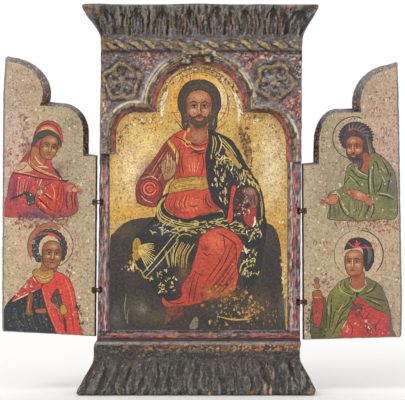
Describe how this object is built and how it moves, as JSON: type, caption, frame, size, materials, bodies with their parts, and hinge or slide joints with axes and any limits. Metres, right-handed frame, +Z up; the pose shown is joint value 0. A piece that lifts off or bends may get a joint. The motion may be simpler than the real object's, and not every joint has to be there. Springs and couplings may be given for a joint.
{
  "type": "triptych altarpiece",
  "caption": "Small folding triptych icon in carved, painted and gilded wood: arched centre panel with cornice and base, and lobed wings on wire hinges.",
  "frame": {"origin": "middle of the base's underside, in the plane of the front of the panel's side borders", "axes": "+Z up, the painted front faces -Y, +X to the viewer's right"},
  "size_m": [0.2814, 0.033, 0.27],
  "materials": {
    "carved_gilded_wood": "aged tempera and gilding over gesso, worn through to grey wood",
    "painted_wing_wood": "aged tempera over a pale worn ground",
    "hinge_iron_wire": "dull rusted wrought iron"
  },
  "bodies": {
    "panel": {"central_panel": "carved_gilded_wood", "left_upper_hinge_panel_staple": "hinge_iron_wire", "left_lower_hinge_panel_staple": "hinge_iron_wire", "right_upper_hinge_panel_staple": "hinge_iron_wire", "right_lower_hinge_panel_staple": "hinge_iron_wire"},
    "left_wing": {"left_wing": "painted_wing_wood", "left_upper_hinge_wing_eye": "hinge_iron_wire", "left_lower_hinge_wing_eye": "hinge_iron_wire"},
    "right_wing": {"right_wing": "painted_wing_wood", "right_upper_hinge_wing_eye": "hinge_iron_wire", "right_lower_hinge_wing_eye": "hinge_iron_wire"}
  },
  "joints": [
    {"name": "left_wing_hinge", "type": "hinge", "parent": "panel", "child": "left_wing", "pos_m": [-0.0718, -0.0008, 0.1026], "axis": [0, 0, 1], "range_deg": [-2, 180]},
    {"name": "right_wing_hinge", "type": "hinge", "parent": "panel", "child": "right_wing", "pos_m": [0.0714, -0.0008, 0.09535], "axis": [0, 0, -1], "range_deg": [-2, 180]}
  ]
}
